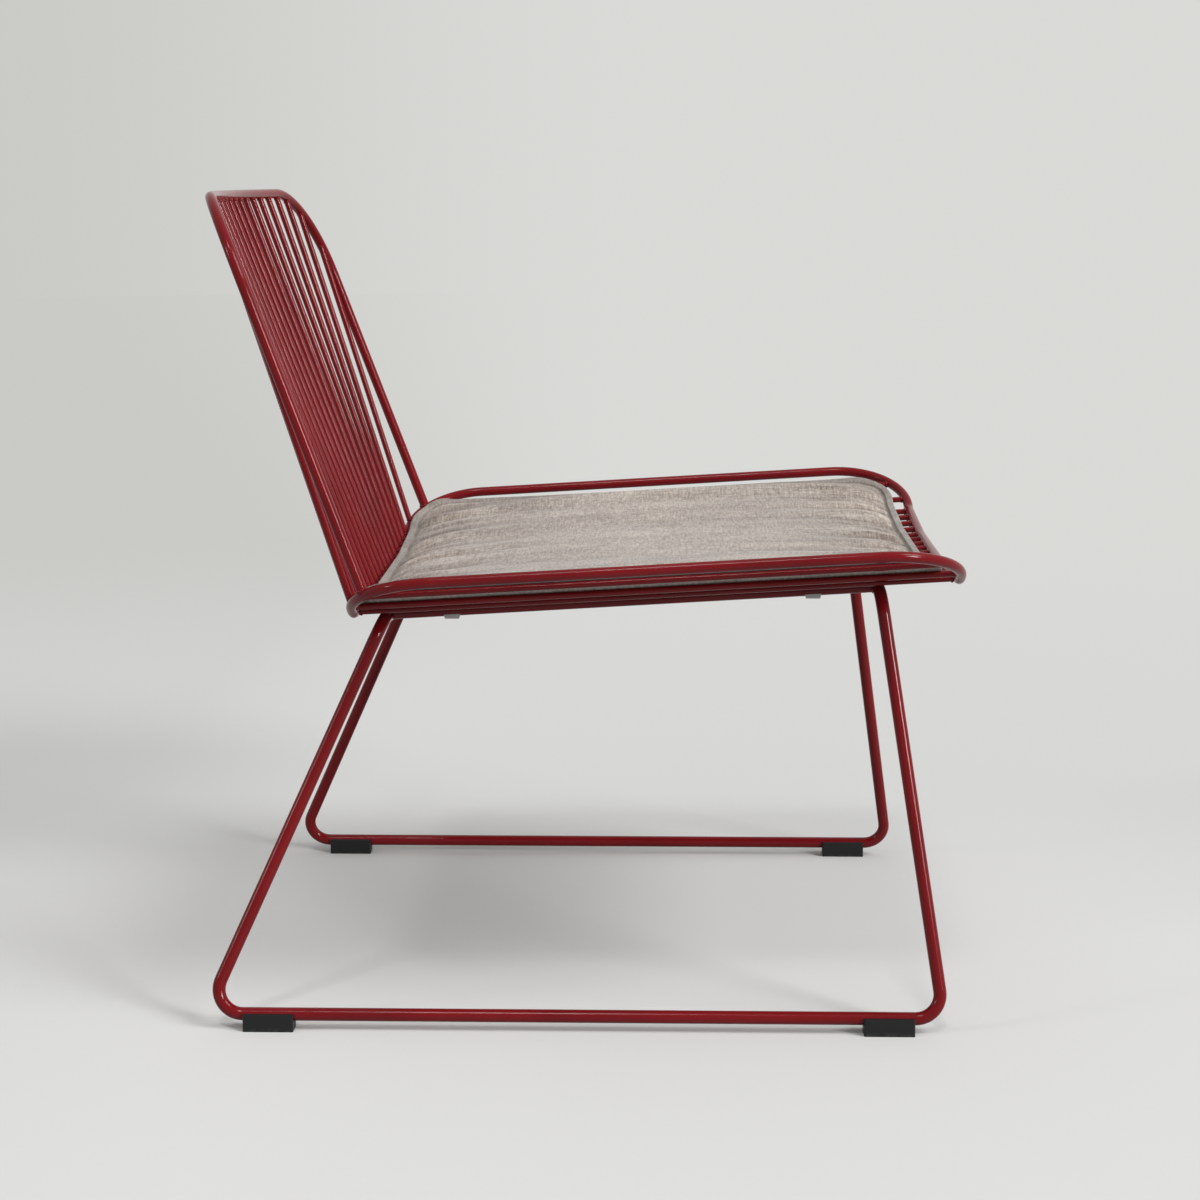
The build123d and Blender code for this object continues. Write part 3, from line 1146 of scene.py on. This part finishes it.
@dataclass
class Studio:
    """Pale seamless floor, soft lamps and the camera at the photograph's angle."""

    floor_colour: Colour = (0.70, 0.70, 0.687)
    # Painted shade: the floor's colour where it is dimmed.
    dim_floor: Colour = (0.585, 0.585, 0.572)
    floor_bounce: Colour = (0.34, 0.34, 0.335)
    floor_roughness: float = 0.8
    floor_specular: float = 0.15
    floor_radius: float = 14.0
    floor_sides: int = 96
    floor_fade: Span = (1.2, 3.0)
    dim_along: Span = (-0.1, 0.7)
    dim_along_share: float = 0.6
    dim_across: Span = (0.25, 1.1)
    speck: Mottle = Mottle(90.0, 2.0, EVEN, 0.05)
    backdrop: Colour = (0.700, 0.700, 0.680)
    # Painted shade: the backdrop's colour on the side away from the lamps.
    dim_backdrop: Colour = (0.590, 0.590, 0.570)
    backdrop_turn: Span = (0.0, 0.28)
    near_wall: Colour = (0.460, 0.460, 0.450)
    near_wall_turn: Span = (-0.6, 0.1)
    sky_light: float = 0.43
    eye: Point = (-2.4702, -0.0805, 0.7655)
    yaw: float = 0.02599
    pitch: float = 0.16851
    roll: float = -0.00092
    lens: float = 75.0
    sensor_width: float = 36.0
    lamps: tuple[Lamp, ...] = (
        Lamp("low_softbox", 231.0, 19.5, 15.0, 0.20),
        Lamp("high_softbox", 248.0, 48.0, 24.0, 0.31),
        Lamp("top_softbox", 172.0, 63.0, 8.0, 0.12),
        Lamp("rear_strip", 112.0, 22.0, 8.0, 0.036),
    )

    def build(self) -> None:
        """Set the stage."""
        bpy.context.scene.view_settings.view_transform = "Standard"
        self.floor()
        self.surround()
        for lamp in self.lamps:
            lamp.build()
        self.camera()

    def seen(self, graph: Graph) -> Signal:
        """1 where the camera sees the surface straight, in a reflection or through something clear."""
        path = graph.add("ShaderNodeLightPath", output="Is Camera Ray")
        return path + path.out("Is Glossy Ray") + path.out("Is Transmission Ray")

    def backdrop_colour(self, graph: Graph, direction: Signal) -> Signal:
        """Backdrop, with painted shade that makes it dimmer on the side away from the lamps, and darker
        behind the camera.

        Args:
            graph: The graph of the floor or the surround.
            direction: Unit vector from the chair.

        Returns:
            The colour.
        """
        ahead = graph.add("ShaderNodeSeparateXYZ", {}, {0: direction}, "X")
        # Painted shade: the backdrop dims towards the side away from the lamps.
        aside = ahead.out("Y").smooth(*self.backdrop_turn)
        wall = graph.mix(aside, self.backdrop, self.dim_backdrop)
        return graph.mix(ahead.smooth(*self.near_wall_turn), self.near_wall, wall)

    def paper_colour(self, graph: Graph, place: Signal) -> Signal:
        """Floor near the chair, with painted shade that makes it dimmer away from the lamps, and duller in
        the light that it gives back.

        Args:
            graph: The floor's graph.
            place: Its coordinates.

        Returns:
            The colour.
        """
        along = graph.add("ShaderNodeSeparateXYZ", {}, {0: place}, "X")
        speck = graph.noise(place, self.speck) * self.speck.share
        # Painted shade: the floor is darkened beyond the chair and on the side away from the lamps; the
        # specks are the paper's own.
        dim = along.smooth(*self.dim_along) * self.dim_along_share
        dim = dim + along.out("Y").smooth(*self.dim_across) + speck
        paper = graph.mix(dim, self.floor_colour, self.dim_floor)
        return graph.mix(self.seen(graph), self.floor_bounce, paper)

    def floor(self) -> None:
        """Round floor whose far part fades into the backdrop."""
        turns = np.linspace(0.0, 2.0 * math.pi, self.floor_sides + 1)[:-1]
        points = np.stack([np.cos(turns), np.sin(turns), 0.0 * turns], 1) * self.floor_radius
        made = mesh_object("studio_floor", points, [tuple(range(len(points)))])
        material, graph, place = new_material("studio_floor")
        away = graph.add("ShaderNodeVectorMath", {"operation": "LENGTH"}, {0: place}, "Value")
        direction = graph.add("ShaderNodeVectorMath", {"operation": "NORMALIZE"}, {0: place})
        near = graph.add("ShaderNodeBsdfPrincipled", {}, {
            "Base Color": self.paper_colour(graph, place),
            "Roughness": self.floor_roughness,
            "Specular IOR Level": self.floor_specular,
        })
        far_colour = self.backdrop_colour(graph, direction)
        far = graph.add("ShaderNodeEmission", {}, {"Color": far_colour, "Strength": 1.0})
        both = graph.add("ShaderNodeMixShader", {}, {0: away.smooth(*self.floor_fade), 1: near, 2: far})
        graph.add("ShaderNodeOutputMaterial", {}, {"Surface": both})
        made.data.materials.append(material)

    def surround(self) -> None:
        """Even light from all round, with the pale backdrop where the camera or a reflection looks."""
        world = bpy.data.worlds.new("studio_surround")
        world.use_nodes = True
        bpy.context.scene.world = world
        graph = Graph(world.node_tree)
        white = (1.0, 1.0, 1.0, 1.0)
        even = graph.add("ShaderNodeBackground", {}, {"Color": white, "Strength": self.sky_light})
        direction = graph.add("ShaderNodeTexCoord", output="Generated")
        pale_colour = self.backdrop_colour(graph, direction)
        pale = graph.add("ShaderNodeBackground", {}, {"Color": pale_colour, "Strength": 1.0})
        both = graph.add("ShaderNodeMixShader", {}, {0: self.seen(graph), 1: even, 2: pale})
        graph.add("ShaderNodeOutputWorld", {}, {"Surface": both})

    def camera(self) -> None:
        """Camera that sees the chair as the photograph does."""
        view = bpy.data.cameras.new("camera")
        view.sensor_width = self.sensor_width
        view.lens = self.lens
        ahead = heading(self.yaw, -self.pitch)
        right = Matrix.Rotation(self.roll, 3, -ahead) @ ahead.cross(UP).normalized()
        axes = Matrix((right, right.cross(ahead), -ahead)).transposed()
        eye = bpy.data.objects.new("camera", view)
        eye.matrix_world = Matrix.Translation(self.eye) @ axes.to_4x4()
        bpy.context.scene.collection.objects.link(eye)
        bpy.context.scene.camera = eye


def main() -> None:
    """Build the chair's looks and the studio in order."""
    logging.basicConfig(level=logging.INFO, format="%(message)s")
    for assembly in (RodFrame(), SeatPad(), Feet(), Studio()):
        assembly.build()
        LOG.info("%s built", type(assembly).__name__)


if __name__ == "__main__":
    main()
